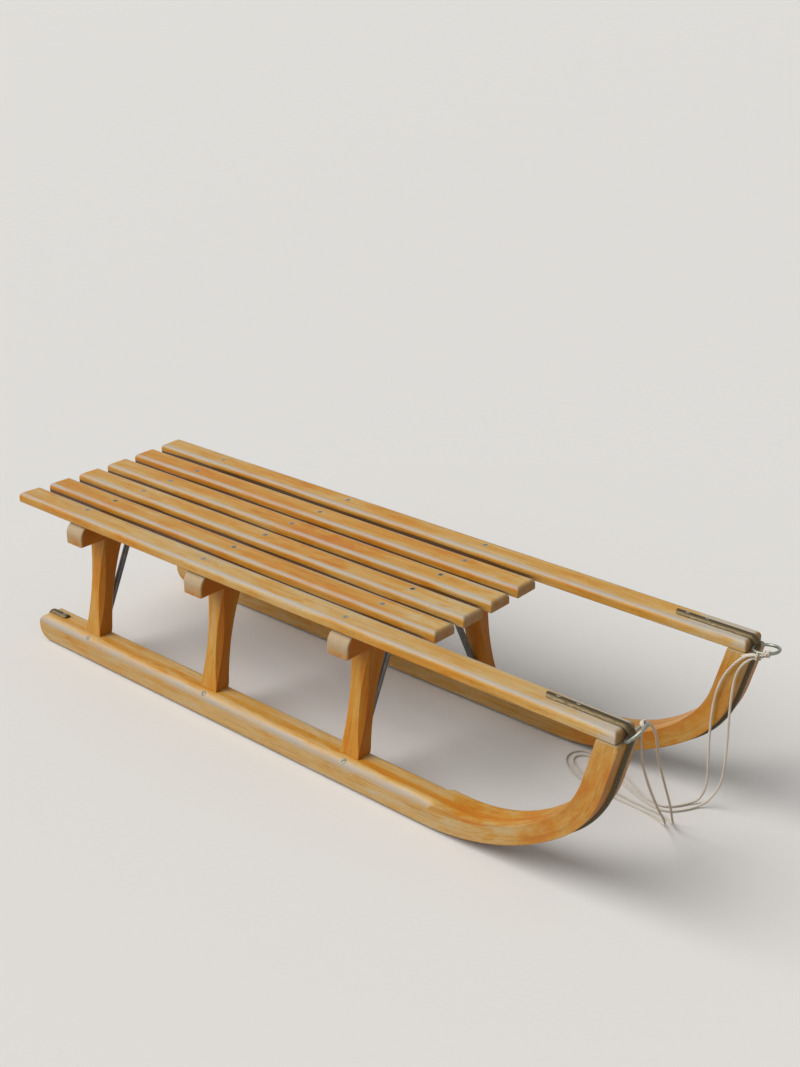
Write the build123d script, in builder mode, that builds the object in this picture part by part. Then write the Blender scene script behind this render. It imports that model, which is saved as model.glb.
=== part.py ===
from build123d import *
from math import cos, pi, radians, sin, sqrt, tan
import os

# A wooden toboggan with three trestles, in millimetres.
# +X points towards the horns, +Y to the sled's left, +Z up. The origin is on
# the ground under the middle of the sled. Places along the sled are given as
# distances from its tail, and along() turns them into X.

# Seat
slat_count = 6
slat_pitch = 55.0
slat_width = 38.0
slat_thickness = 15.0
slat_top_round = 6.5
slat_bottom_round = 2.0
slat_corner_round = 2.0
short_slat_end = 764.0
seat_height = 235.0
seat_dish = 2.0
slat_play = 0.1

# Bolsters, one over each pair of legs
bolster_places = {"rear": 133.5, "middle": 389.5, "front": 656.5}
bolster_width = 36.0
bolster_height = 31.0
bolster_overhang = 4.0
bolster_end_round = 18.0
bolster_edge_round = 2.5

# Legs
leg_width = 31.0
leg_foot_setback = 14.5
leg_foot_breadth = 23.0
leg_splay = 25.5
leg_top_breadth = 35.0
leg_chamfer = 7.0
leg_chamfer_stop = 7.0
tenon_width = 20.0
tenon_breadth = 12.0
tenon_depth = 16.0
tenon_play = 0.2
mortise_spare = 1.0

# Runners, one under each outer slat
runner_width = 42.0
runner_height = 35.0
runner_start = 20.0
runner_outer_round = 12.0
runner_inner_round = 8.0
runner_round_stop = 797.0
cutter_pilot = 7.0
heel_round = 18.0
heel_top_round = 8.0
bend_start = 786.0
bend_radius = 340.0
bend_angle = 38.0
horn_radius = 150.0
horn_angle = 37.0
horn_thickness = 28.0
hollow_angle = 50.0
horn_top_round = 4.0

# Runner irons, half-round bar
iron_width = 12.0
iron_thickness = 4.0
iron_loop_radius = 10.0
iron_inset = 2.5
iron_seat_length = 102.0
iron_heel_tab = 42.0
iron_play = 0.3
ring_room = 5.5

# Stays, round bar with both ends beaten flat
stay_diameter = 9.0
stay_places = ("rear", "front")
stay_top_inset = 54.0
stay_lug_length = 22.0
stay_lug_width = 13.0
stay_lug_thickness = 4.0
stay_lug_play = 0.2
stay_foot_rise = 16.0

# Tow rings
ring_wire = 4.0
ring_radius = 15.5
ring_rise = {"right": 46.0, "left": 6.0}
ring_lean = {"right": 14.0, "left": 4.0}
ring_drop = 1.5
ring_play = 0.6

# Tow rope, a doubled cord, and the hitches that tie it to the rings
rope_diameter = 3.0
hitch_diameter = 11.0
hitch_length = 7.0
hitch_bore = 5.2
hitch_round = 1.5
hitch_bearing = {"right": 0.0, "left": 30.0}
arc_share = 0.45

# Routes of the two strands from the right ring, over the ground and up to the
# left ring, as distances from the tail, breadths and heights
outer_route = [
    (1073.6, -121.3, 232.7), (1067.6, -119.9, 226.8), (1067.5, -119.5, 212.5), (1069, -117.5, 190),
    (1069, -103, 155), (1061, -75, 118), (1054, -55, 95), (1045, -30, 67), (1036, -5, 42),
    (1027, 16, 20), (1016, 36, 1.6), (990, 44, 1.6), (962, 45, 1.6), (930, 46, 1.6), (903, 49, 1.6),
    (877, 54, 1.6), (856, 62, 1.6), (838, 76, 1.6), (831, 94, 1.6), (838, 110, 1.6), (856, 115, 1.6),
    (885, 108, 1.6), (916, 95, 1.6), (955, 74, 1.6), (988, 66, 1.6), (1003, 76, 1.6),
    (1014, 95, 1.6), (1023, 107, 6), (1029, 110, 30), (1027, 111, 60), (1025, 112, 95),
    (1025.5, 112.5, 130), (1028, 112.5, 155), (1032, 112.5, 171), (1038, 112.5, 187),
    (1047, 112.5, 202), (1058, 112.5, 216), (1067, 112.2, 222.5), (1077.5, 112.6, 225.9),
    (1084.4, 116.6, 226.3),
]
inner_route = [
    (1075.3, -117.6, 237.0), (1079.2, -108.0, 235.4), (1078.0, -98.0, 220.0), (1071, -86, 196),
    (1062, -72, 169), (1055, -50, 137), (1049, -30, 107), (1043, -10, 78), (1036, 12, 46),
    (1030, 28, 18), (1023, 44, 1.6), (1000, 51.5, 1.6), (975, 52.5, 1.6), (950, 54, 1.6), (925, 56, 1.6),
    (900, 59, 1.6), (880, 63, 1.6), (862, 69, 1.6), (847, 80, 1.6), (841, 93, 1.6), (848, 104, 1.6),
    (863, 107, 1.6), (890, 99, 1.6), (922, 81, 1.6), (955, 67, 1.6), (988, 58.5, 1.6), (1006, 64, 1.6),
    (1018, 80, 1.6), (1026, 96, 1.6), (1035, 105, 9), (1047, 111, 34), (1049.5, 112, 62), (1050, 112, 98),
    (1049, 112.2, 132), (1049.5, 112.5, 157), (1050.5, 112.5, 177), (1053, 112.5, 192),
    (1058, 112.5, 205), (1066, 112.5, 215), (1076.0, 115.1, 222.4), (1082.9, 119.1, 222.8),
]

# Worked out from the sizes above
side_sign = {"right": -1, "left": 1}
runner_top = iron_thickness + runner_height
outer_slat_y = (slat_count - 1) * slat_pitch / 2
bolster_length = 2 * (outer_slat_y + slat_width / 2 + bolster_overhang)
leg_foot_outside = outer_slat_y + runner_width / 2 - leg_foot_setback
leg_top_outside = leg_foot_outside - leg_splay
iron_y = outer_slat_y - iron_inset
slat_bottom = seat_height - slat_thickness
dish_radius = (outer_slat_y**2 + seat_dish**2) / (2 * seat_dish)
bolster_bottom = slat_bottom - bolster_height
lean = bend_angle + horn_angle
wood_bottom = iron_thickness


def arc_end(x, z, radius, start_angle, turn):
    """End of an arc in the side view that starts at x, z and turns upwards."""
    a = radians(start_angle)
    b = radians(start_angle + turn)
    return x + radius * (sin(b) - sin(a)), z + radius * (cos(a) - cos(b))


# Lower side of the bend, as distances from the tail and heights
bend_end = arc_end(bend_start, wood_bottom, bend_radius, 0, bend_angle)
horn_foot = arc_end(*bend_end, horn_radius, bend_angle, horn_angle)


def horn_front(height):
    """Distance of the horn's front face from the tail at a height."""
    return horn_foot[0] + (height - horn_foot[1]) / tan(radians(lean))


long_slat_end = horn_front(slat_bottom) - ring_room

# Upper side of the bend: parallel to the lower one in the throat of the horn,
# and one wide arc down to the flat top of the runner, where the bend is thinner
throat_radius = horn_radius - horn_thickness
inner_joint = (
    bend_end[0] - horn_radius * sin(radians(bend_angle)) + throat_radius * sin(radians(hollow_angle)),
    bend_end[1] + horn_radius * cos(radians(bend_angle)) - throat_radius * cos(radians(hollow_angle)),
)
inner_radius = (inner_joint[1] - runner_top) / (1 - cos(radians(hollow_angle)))
inner_start = inner_joint[0] - inner_radius * sin(radians(hollow_angle))

# Tow rings: the back of each ring passes behind its iron, under the slat's nose
ring_back_height = slat_bottom + ring_wire / 2 + ring_drop
ring_sag = ring_radius - sqrt(ring_radius**2 - (iron_width / 2) ** 2)
ring_back = horn_front(ring_back_height) - ring_wire / 2 - ring_sag - ring_play


def ring_axes(side):
    """Centre of a tow ring and the ways to its foremost and inboard points."""
    sign = side_sign[side]
    rise = radians(ring_rise[side])
    roll = radians(ring_lean[side])
    inboard = Vector(0, -sign * cos(roll), sin(roll))
    level_ahead = Vector(cos(rise), 0, sin(rise))
    ahead = (level_ahead - inboard * level_ahead.dot(inboard)).normalized()
    back = Vector(ring_back, sign * iron_y, ring_back_height)
    return back + ahead * ring_radius, ahead, inboard


def ring_front(side):
    """Foremost distance from the tail that a ring reaches."""
    centre, ahead, inboard = ring_axes(side)
    return centre.X + ring_radius * sqrt(ahead.X**2 + inboard.X**2) + ring_wire / 2


overall_length = max(ring_front("right"), ring_front("left"))


def along(distance):
    """X of a place given by its distance from the tail."""
    return distance - overall_length / 2


def seat_plane(y, height=0.0):
    """Plane square to the dished seat at y, a height above the bolsters."""
    tilt = y / dish_radius
    drop = seat_dish - (dish_radius - sqrt(dish_radius**2 - y**2))
    origin = Vector(0, y, slat_bottom - drop)
    normal = Vector(0, -sin(tilt), cos(tilt))
    return Plane(origin=origin + normal * height, x_dir=(1, 0, 0), z_dir=normal)


def leg_edge(inner):
    """Foot and top of a leg's inner or outer edge, as breadth and height."""
    foot = leg_foot_outside - (leg_foot_breadth if inner else 0)
    top = leg_top_outside - (leg_top_breadth if inner else 0)
    return (foot, runner_top), (top, bolster_bottom)


leg_tenon_foot = leg_foot_outside - leg_foot_breadth / 2
leg_tenon_top = leg_top_outside - leg_top_breadth / 2

os.makedirs("parts", exist_ok=True)


def keep(builder, label):
    """Label a finished sub-part and write it."""
    builder.part.label = label
    export_step(builder.part, f"parts/{label}.step")


def make_slat(number):
    """One seat slat, rounded along its top and at its ends."""
    y = (number - (slat_count - 1) / 2) * slat_pitch
    is_long = number in (0, slat_count - 1)
    end = long_slat_end if is_long else short_slat_end
    base = seat_plane(y, slat_play)
    with BuildPart() as slat:
        with BuildSketch(base):
            with Locations((along(end / 2), 0)):
                RectangleRounded(end, slat_width, slat_corner_round)
        extrude(amount=slat_thickness)
        upper = slat.faces().filter_by(lambda f: f.normal_at().Z > 0.9)
        lower = slat.faces().filter_by(lambda f: f.normal_at().Z < -0.9)
        fillet(upper.edges(), radius=slat_top_round)
        fillet(lower.edges(), radius=slat_bottom_round)
    keep(slat, f"slat_{number + 1}")


def make_bolster(name, place):
    """Crossbeam with a dished top, rounded ends and mortises for two legs."""
    half = bolster_length / 2
    end_height = seat_plane(half).origin.Z
    with BuildPart() as bolster:
        with BuildSketch(Plane.YZ.offset(along(place))):
            with BuildLine():
                dish = ThreePointArc((-half, end_height), (0, slat_bottom - seat_dish), (half, end_height))
                Polyline(dish @ 1, (half, bolster_bottom), (-half, bolster_bottom), dish @ 0)
            make_face()
            fillet(vertices().group_by(Axis.Y)[-1], radius=bolster_end_round)
        extrude(amount=bolster_width / 2, both=True)
        rims = faces().filter_by(Axis.X).edges().sort_by(Axis.Z)
        fillet(rims[:-2], radius=bolster_edge_round)
        with BuildSketch(Plane.XY.offset(bolster_bottom)):
            with Locations(*[(along(place), sign * leg_tenon_top) for sign in side_sign.values()]):
                Rectangle(tenon_width + 2 * tenon_play, tenon_breadth + 2 * tenon_play)
        extrude(amount=tenon_depth + mortise_spare, mode=Mode.SUBTRACT)
    keep(bolster, f"bolster_{name}")


def make_leg(name, place, side):
    """Splayed, tapered leg with a stopped chamfer on each corner and two tenons."""
    sign = side_sign[side]
    with BuildPart() as leg:
        (foot_out, foot_z), (top_out, top_z) = leg_edge(inner=False)
        (foot_in, _), (top_in, _) = leg_edge(inner=True)
        with BuildSketch(Plane.YZ.offset(along(place))):
            Polygon(
                (sign * foot_out, foot_z),
                (sign * foot_in, foot_z),
                (sign * top_in, top_z),
                (sign * top_out, top_z),
                align=None,
            )
        extrude(amount=leg_width / 2, both=True)
        for inner in (False, True):
            (foot_y, _), (top_y, _) = leg_edge(inner)
            for face in (-1, 1):
                corner_x = along(place) + face * leg_width / 2
                foot = Vector(corner_x, sign * foot_y, foot_z)
                top = Vector(corner_x, sign * top_y, top_z)
                upward = (top - foot).normalized()
                sideways = Vector(face, 0, 0).cross(upward)
                if sideways.Y * sign * (-1 if inner else 1) < 0:
                    sideways = -sideways
                inward = -(Vector(face, 0, 0) + sideways).normalized()
                start = foot + upward * leg_chamfer_stop
                length = (top - foot).length - 2 * leg_chamfer_stop
                with BuildSketch(Plane(origin=start, x_dir=upward, z_dir=upward.cross(inward))):
                    with BuildLine():
                        scoop = ThreePointArc((0, 0), (length / 2, leg_chamfer / sqrt(2)), (length, 0))
                        Polyline(scoop @ 1, (length, -1), (0, -1), scoop @ 0)
                    make_face()
                extrude(amount=leg_chamfer, both=True, mode=Mode.SUBTRACT)
        with BuildSketch(Plane.XY.offset(foot_z)):
            with Locations((along(place), sign * leg_tenon_foot)):
                Rectangle(tenon_width, tenon_breadth)
        extrude(amount=-tenon_depth)
        with BuildSketch(Plane.XY.offset(top_z)):
            with Locations((along(place), sign * leg_tenon_top)):
                Rectangle(tenon_width, tenon_breadth)
        extrude(amount=tenon_depth)
    keep(leg, f"leg_{name}_{side}")


def make_runner(side):
    """Runner with its bent horn, stopped round-overs and mortises for three legs."""
    sign = side_sign[side]
    y = sign * outer_slat_y
    reach = (slat_bottom - horn_foot[1]) / sin(radians(lean)) + horn_thickness
    with BuildPart() as runner:
        with BuildSketch(Plane.XZ.offset(-y)):
            with BuildLine():
                sole = Line((along(runner_start), wood_bottom), (along(bend_start), wood_bottom))
                bend = JernArc(sole @ 1, (1, 0), bend_radius, bend_angle)
                horn = JernArc(bend @ 1, bend % 1, horn_radius, horn_angle)
                front = PolarLine(horn @ 1, reach, direction=horn % 1)
                deck = Line((along(runner_start), runner_top), (along(inner_start), runner_top))
                hollow = JernArc(deck @ 1, (1, 0), inner_radius, hollow_angle)
                throat = JernArc(hollow @ 1, hollow % 1, throat_radius, lean - hollow_angle)
                back = PolarLine(throat @ 1, reach, direction=throat % 1)
                Line(front @ 1, back @ 1)
                Line(deck @ 0, sole @ 0)
            make_face()
            fillet(vertices().group_by(Axis.X)[0].sort_by(Axis.Y)[-1], radius=heel_top_round)
            fillet(vertices().group_by(Axis.X)[0].sort_by(Axis.Y)[0], radius=heel_round)
        extrude(amount=runner_width / 2, both=True)
        split(bisect_by=seat_plane(y), keep=Keep.BOTTOM)
        horn_top = faces().sort_by(Axis.Z)[-1]
        fillet(horn_top.edges().sort_by(Axis.X)[-1], radius=horn_top_round)
        for edge, radius in ((sign, runner_outer_round), (-sign, runner_inner_round)):
            edge_y = y + edge * runner_width / 2
            round_y = edge_y - edge * radius
            round_z = runner_top - radius
            waste = cutter_pilot / 2
            middle = (round_y + edge * radius / sqrt(2), round_z + radius / sqrt(2))
            for place, stop in ((0, False), (runner_round_stop, True)):
                with BuildSketch(Plane.YZ.offset(along(place))):
                    with BuildLine():
                        cut = ThreePointArc((round_y, runner_top), middle, (edge_y, round_z))
                        Polyline(
                            cut @ 1,
                            (edge_y + edge * waste, round_z),
                            (edge_y + edge * waste, runner_top + waste),
                            (round_y, runner_top + waste),
                            cut @ 0,
                        )
                    make_face()
                if stop:
                    pivot = (along(runner_round_stop), edge_y + edge * cutter_pilot, 0)
                    revolve(axis=Axis(pivot, (0, 0, edge)), revolution_arc=90, mode=Mode.SUBTRACT)
                else:
                    extrude(amount=runner_round_stop, mode=Mode.SUBTRACT)
        with BuildSketch(Plane.XY.offset(runner_top)):
            with Locations(*[(along(p), sign * leg_tenon_foot) for p in bolster_places.values()]):
                Rectangle(tenon_width + 2 * tenon_play, tenon_breadth + 2 * tenon_play)
        extrude(amount=-(tenon_depth + mortise_spare), mode=Mode.SUBTRACT)
    keep(runner, f"runner_{side}")


def make_iron(side):
    """Half-round iron under a runner, up its horn and back over the slat."""
    y = side_sign[side] * iron_y
    seat = seat_height + slat_play + iron_play
    loop_rise = iron_loop_radius * (1 + cos(radians(lean)))
    rise = (seat - loop_rise - horn_foot[1]) / sin(radians(lean))
    with BuildPart() as iron:
        with BuildLine(Plane.XZ.offset(-y)) as course:
            tab = Line(
                (along(runner_start + iron_heel_tab), runner_top),
                (along(runner_start + heel_top_round), runner_top),
            )
            over = JernArc(tab @ 1, (-1, 0), heel_top_round, 90)
            heel = Line(over @ 1, (along(runner_start), wood_bottom + heel_round))
            under = JernArc(heel @ 1, (0, -1), heel_round, 90)
            sole = Line(under @ 1, (along(bend_start), wood_bottom))
            bend = JernArc(sole @ 1, (1, 0), bend_radius, bend_angle)
            horn = JernArc(bend @ 1, bend % 1, horn_radius, horn_angle)
            front = PolarLine(horn @ 1, rise, direction=horn % 1)
            loop = JernArc(front @ 1, front % 1, iron_loop_radius, 180 - lean)
            Line(loop @ 1, loop @ 1 + Vector(-iron_seat_length, 0))
        with BuildSketch(Plane(origin=course.line @ 0, x_dir=(0, 1, 0), z_dir=(-1, 0, 0))):
            with BuildLine():
                flat = Line((-iron_width / 2, 0), (iron_width / 2, 0))
                ThreePointArc(flat @ 1, (0, -iron_thickness), flat @ 0)
            make_face()
        sweep(path=course.line)
        for tip, inward in ((course.line @ 0, -1), (course.line @ 1, 1)):
            with BuildSketch(Plane(origin=(tip.X, y, tip.Z))):
                with Locations((inward * iron_width / 4, 0)):
                    Rectangle(iron_width / 2, iron_width)
                with Locations((inward * iron_width / 2, 0)):
                    Circle(iron_width / 2, mode=Mode.SUBTRACT)
            extrude(amount=iron_thickness, mode=Mode.SUBTRACT)
    keep(iron, f"iron_{side}")


def make_stay(name, place, side):
    """Round stay from under a bolster to the foot of a leg, flattened at both ends."""
    sign = side_sign[side]
    foot_y, foot_z = leg_edge(inner=True)[0]
    top_y, top_z = leg_edge(inner=True)[1]
    slope = (foot_y - top_y) / (top_z - foot_z)
    face_up = Vector(0, -sign * slope, 1).normalized()
    face_out = Vector(0, -sign, -slope).normalized()
    lug_height = foot_z + stay_foot_rise
    on_leg = Vector(along(place), sign * (foot_y - slope * stay_foot_rise), lug_height)
    leg_face = Plane(origin=on_leg + face_out * stay_lug_play, x_dir=face_up, z_dir=face_out)
    bolster_face = Plane(
        origin=(along(place), sign * stay_top_inset, bolster_bottom - stay_lug_play),
        x_dir=(0, -sign, 0),
        z_dir=(0, 0, -1),
    )
    low = leg_face.origin + face_up * stay_lug_length / 4 + face_out * stay_lug_thickness / 2
    high = bolster_face.origin + Vector(0, 0, -stay_lug_thickness / 2)
    direction = (high - low).normalized()
    with BuildPart() as stay:
        with BuildSketch(Plane(origin=low - direction * stay_diameter, z_dir=direction)):
            Circle(stay_diameter / 2)
        extrude(amount=(high - low).length + 2 * stay_diameter)
        split(bisect_by=leg_face, keep=Keep.TOP)
        split(bisect_by=bolster_face, keep=Keep.TOP)
        for face in (leg_face, bolster_face):
            with BuildSketch(face):
                with Locations((stay_lug_length / 4, 0)):
                    SlotOverall(stay_lug_length, stay_lug_width)
            extrude(amount=stay_lug_thickness)
    keep(stay, f"stay_{name}_{side}")


def make_ring(side):
    """Wire ring through the loop of an iron."""
    centre, ahead, inboard = ring_axes(side)
    centre = Vector(along(centre.X), centre.Y, centre.Z)
    with BuildPart(Plane(origin=centre, x_dir=ahead, z_dir=ahead.cross(inboard))) as ring:
        Torus(ring_radius, ring_wire / 2)
    keep(ring, f"ring_{side}")


def make_hitch(side):
    """Turns of the rope round a tow ring, as a short sleeve on its wire."""
    centre, ahead, inboard = ring_axes(side)
    bearing = radians(hitch_bearing[side])
    out = inboard * cos(bearing) + ahead * sin(bearing)
    tangent = ahead * cos(bearing) - inboard * sin(bearing)
    seat = centre + out * ring_radius
    seat = Vector(along(seat.X), seat.Y, seat.Z)
    with BuildPart(Plane(origin=seat, x_dir=out, z_dir=tangent)) as hitch:
        Cylinder(hitch_diameter / 2, hitch_length)
        fillet(edges(), radius=hitch_round)
        Cylinder(hitch_bore / 2, hitch_length, mode=Mode.SUBTRACT)
    keep(hitch, f"hitch_{side}")


def arc_radii(points):
    """Radii of the arcs that join a strand's straight runs at its inner points."""
    radii = []
    for before, here, after in zip(points, points[1:], points[2:]):
        arriving, leaving = here - before, after - here
        half_turn = radians(arriving.get_angle(leaving)) / 2
        shorter = min(arriving.length, leaving.length)
        radii.append(arc_share * shorter / tan(half_turn))
    return radii


def make_strand(name, route):
    """One strand of the tow rope: straight runs joined by tangent arcs."""
    points = [Vector(along(x), y, z) for x, y, z in route]
    radii = arc_radii(points)
    with BuildPart() as strand:
        with BuildLine() as course:
            FilletPolyline(*points, radius=radii)
        with BuildSketch(Plane(origin=course.line @ 0, z_dir=course.line % 0)):
            Circle(rope_diameter / 2)
        sweep(path=course.line)
    runs = [(b - a).length for a, b in zip(points, points[1:])]
    length = course.wire().length
    print(name, "length", round(length, 1), "volume", round(strand.part.volume, 1))
    print("  section by length", round(pi * rope_diameter**2 / 4 * length, 1))
    print("  longest run", round(max(runs), 1), "radii", [round(radius, 1) for radius in radii])
    keep(strand, name)


for number in range(slat_count):
    make_slat(number)

for name, place in bolster_places.items():
    make_bolster(name, place)
    for side in side_sign:
        make_leg(name, place, side)
        if name in stay_places:
            make_stay(name, place, side)

for side in side_sign:
    make_runner(side)
    make_iron(side)
    make_ring(side)
    make_hitch(side)

make_strand("rope_outer", outer_route)
make_strand("rope_inner", inner_route)
print("overall length", overall_length)
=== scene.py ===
import random
from math import atan2, cos, pi, radians, sin, sqrt

import bmesh
import bpy
from mathutils import Matrix, Vector


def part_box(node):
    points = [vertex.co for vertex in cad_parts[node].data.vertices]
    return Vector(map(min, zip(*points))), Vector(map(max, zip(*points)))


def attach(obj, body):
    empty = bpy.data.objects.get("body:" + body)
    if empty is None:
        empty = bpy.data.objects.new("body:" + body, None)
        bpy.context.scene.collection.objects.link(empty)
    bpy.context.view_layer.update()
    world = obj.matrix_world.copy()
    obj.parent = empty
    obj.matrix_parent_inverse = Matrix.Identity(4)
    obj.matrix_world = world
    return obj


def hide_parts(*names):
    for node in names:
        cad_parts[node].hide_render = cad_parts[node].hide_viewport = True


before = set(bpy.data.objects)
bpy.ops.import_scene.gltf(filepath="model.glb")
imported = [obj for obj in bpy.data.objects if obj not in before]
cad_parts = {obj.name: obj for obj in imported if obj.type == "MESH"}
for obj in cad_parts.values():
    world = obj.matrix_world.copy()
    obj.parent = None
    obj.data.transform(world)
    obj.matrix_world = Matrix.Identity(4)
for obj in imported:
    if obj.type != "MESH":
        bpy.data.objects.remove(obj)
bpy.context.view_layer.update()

# Distance from the tail to the frame's origin
half_length = 0.54756


def at(tail, y, z):
    """A point of the frame from its distance to the tail."""
    return Vector((tail - half_length, y, z))


# Seat
slat_count = 6
slat_pitch = 0.055
slat_thickness = 0.015
slat_play = 0.0001
slat_bottom = 0.220
slat_tip = 1.065
seat_front = 0.764
seat_height = 0.235
seat_dish = 0.002
bolster_places = {"rear": 0.1335, "middle": 0.3895, "front": 0.6565}
bolster_bottom = 0.189

# Runners and irons with their bend
runner_y = 0.1375
runner_width = 0.042
runner_top = 0.039
runner_round = 0.012
runner_start = 0.020
bend_start = 0.786
bend_radius = 0.340
bend_angle = radians(38.0)
horn_radius = 0.150
horn_angle = radians(37.0)
iron_y = 0.135
iron_thickness = 0.004
iron_play = 0.0003

# Legs and stays
leg_foot_middle = 0.1325
leg_top_middle = 0.101
leg_splay = (leg_foot_middle - leg_top_middle) / (bolster_bottom - runner_top)
stay_top_inset = 0.054
stay_lug_y = stay_top_inset - 0.0005
stay_lug_z = bolster_bottom - 0.0042

# Tow cord and rings
cord_diameter = 0.003
ring_wire = 0.004
ring_centres = {"right": at(1.07322, -0.13766, 0.23416), "left": at(1.0777, 0.13511, 0.22511)}
ring_normals = {"right": Vector((-0.709, -0.171, 0.684)), "left": Vector((-0.104, -0.070, 0.992))}
side_sign = {"right": -1, "left": 1}

# Ways that a face can look
to_front = (1.0, 0.0, 0.0)
to_left = (0.0, 1.0, 0.0)
to_right = (0.0, -1.0, 0.0)

random.seed(7)


def add_camera():
    """Camera where the photograph was taken."""
    data = bpy.data.cameras.new("camera")
    data.sensor_width = 36.0
    data.lens = 50.17
    camera = bpy.data.objects.new("camera", data)
    azimuth, elevation, roll = radians(41.557), radians(23.477), radians(-0.53)
    level = Vector((sin(azimuth), -cos(azimuth), 0)) * cos(elevation)
    back = level + Vector((0, 0, sin(elevation)))
    right = Vector((cos(azimuth), sin(azimuth), 0))
    up = back.cross(right)
    right, up = cos(roll) * right + sin(roll) * up, cos(roll) * up - sin(roll) * right
    turn = Matrix((right, up, back)).transposed().to_4x4()
    camera.matrix_world = Matrix.Translation(at(1.7879, -1.3182, 1.0559)) @ turn
    bpy.context.scene.collection.objects.link(camera)
    bpy.context.scene.camera = camera
    bpy.context.scene.view_settings.view_transform = "Standard"


class Tree:
    """A node tree, with short calls for the nodes that it needs."""

    def __init__(self, tree):
        self.nodes, self.links = tree.nodes, tree.links
        self.nodes.clear()

    def feed(self, socket, value):
        """Links a socket to another, or gives it a constant."""
        if isinstance(value, bpy.types.NodeSocket):
            self.links.new(value, socket)
        else:
            socket.default_value = value

    def node(self, kind, *values, **settings):
        """Adds a node, with values for its first inputs, and its settings."""
        node = self.nodes.new("ShaderNode" + kind)
        for name, value in settings.items():
            setattr(node, name, value)
        for socket, value in zip(node.inputs, values):
            self.feed(socket, value)
        return node

    def math(self, operation, *values):
        return self.node("Math", *values, operation=operation).outputs[0]

    def chain(self, operation, values):
        """Joins any count of numbers, two at a time."""
        result, *others = values
        for value in others:
            result = self.math(operation, result, value)
        return result

    def total(self, *values):
        return self.chain("ADD", values)

    def product(self, *values):
        return self.chain("MULTIPLY", values)

    def picture_ray(self):
        """1 where a ray shows a thing, straight or mirrored, and 0 where it lights one."""
        ray = self.node("LightPath").outputs
        kinds = ("Is Camera Ray", "Is Glossy Ray", "Is Transmission Ray")
        return self.chain("MAXIMUM", [ray[kind] for kind in kinds])


class Shade(Tree):
    """A material with one surface."""

    def __init__(self, name, **constants):
        self.material = bpy.data.materials.new(name)
        self.material.use_nodes = True
        super().__init__(self.material.node_tree)
        self.surface = self.node("BsdfPrincipled")
        self.node("OutputMaterial", self.surface.outputs[0])
        self.finish(**constants)

    def finish(self, **sockets):
        """Feeds the surface's sockets, named with _ for a space."""
        for socket, value in sockets.items():
            self.feed(self.surface.inputs[socket.replace("_", " ")], value)
        return self.material

    def place(self):
        return self.node("TexCoord").outputs["Object"]

    def vector(self, operation, *values):
        return self.node("VectorMath", *values, operation=operation).outputs[0]

    def along(self, vector, direction):
        """Size of a vector's share along a direction."""
        return self.node("VectorMath", vector, direction, operation="DOT_PRODUCT").outputs["Value"]

    def distance(self, point):
        return self.node("VectorMath", self.place(), point, operation="DISTANCE").outputs["Value"]

    def size(self, value):
        """A number without its sign."""
        return self.math("ABSOLUTE", value)

    def split(self, vector):
        return self.node("SeparateXYZ", vector).outputs

    def join(self, x, y, z):
        return self.node("CombineXYZ", x, y, z).outputs[0]

    def noise(self, vector, scale, detail=2.0, roughness=0.5):
        node = self.node("TexNoise")
        for socket, value in (
            ("Vector", self.vector("MULTIPLY", vector, scale)),
            ("Scale", 1.0),
            ("Detail", detail),
            ("Roughness", roughness),
        ):
            self.feed(node.inputs[socket], value)
        return node.outputs["Fac"]

    def span(self, value, low, high, to_low=0.0, to_high=1.0, smooth=True):
        """Maps low to high onto another range, held at its ends."""
        kind = "SMOOTHSTEP" if smooth else "LINEAR"
        node = self.node("MapRange", value, low, high, to_low, to_high, interpolation_type=kind)
        return node.outputs[0]

    def ramp(self, value, stops):
        """Colour at a number between the stops."""
        node = self.node("ValToRGB", value)
        elements = node.color_ramp.elements
        while len(elements) < len(stops):
            elements.new(0.5)
        for element, (position, colour) in zip(elements, stops):
            element.position = position / stops[-1][0]
            element.color = (*colour, 1.0)
        return node.outputs[0]

    def mix(self, factor, a, b):
        """Colour a where factor is 0 and b where it is 1."""
        node = self.node("Mix", data_type="RGBA")
        self.feed(node.inputs["Factor"], factor)
        for socket, value in zip((node.inputs[6], node.inputs[7]), (a, b)):
            linked = isinstance(value, bpy.types.NodeSocket)
            self.feed(socket, value if linked else (*value, 1.0))
        return node.outputs[2]

    def choose(self, factor, a, b):
        """Number a where factor is 0 and b where it is 1."""
        node = self.node("Mix", data_type="FLOAT")
        for socket, value in zip((node.inputs[0], node.inputs[2], node.inputs[3]), (factor, a, b)):
            self.feed(socket, value)
        return node.outputs[0]

    def bump(self, height, distance, strength, before=None):
        node = self.node("Bump")
        self.feed(node.inputs["Strength"], strength)
        self.feed(node.inputs["Distance"], distance)
        self.feed(node.inputs["Height"], height)
        if before is not None:
            self.feed(node.inputs["Normal"], before)
        return node.outputs[0]

    def edges(self, radius):
        """A normal that turns softly over sharp edges, how far it is from the face's
        own, and the face's own."""
        soft = self.node("Bevel", radius, samples=4).outputs[0]
        face = self.node("NewGeometry").outputs["Normal"]
        return soft, self.math("SUBTRACT", 1.0, self.along(soft, face)), face


# Varnished beech by tone, from the deep orange of thick varnish to tan, and to the
# pale wood where the varnish has worn off
tone_range = 1.35
beech_tones = (
    (0.00, (0.492, 0.163, 0.006)),
    (0.30, (0.510, 0.205, 0.013)),
    (0.60, (0.528, 0.276, 0.047)),
    (1.00, (0.545, 0.372, 0.150)),
    (1.35, (0.490, 0.422, 0.325)),
)
end_tones = (
    (0.00, (0.410, 0.165, 0.037)),
    (0.45, (0.445, 0.262, 0.105)),
    (1.00, (0.415, 0.322, 0.200)),
)
# Pale tone of the painted highlight and wear on round-overs and slat rims, also used for the pale
# halo round screws
highlight_and_wear_tone = (0.368, 0.324, 0.270)
fleck = (0.215, 0.085, 0.012)
# Dark tone of painted shade low in the slat gaps, and of grime and painted countersink shade round
# the screws
shade_and_grime = (0.080, 0.042, 0.016)

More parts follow.
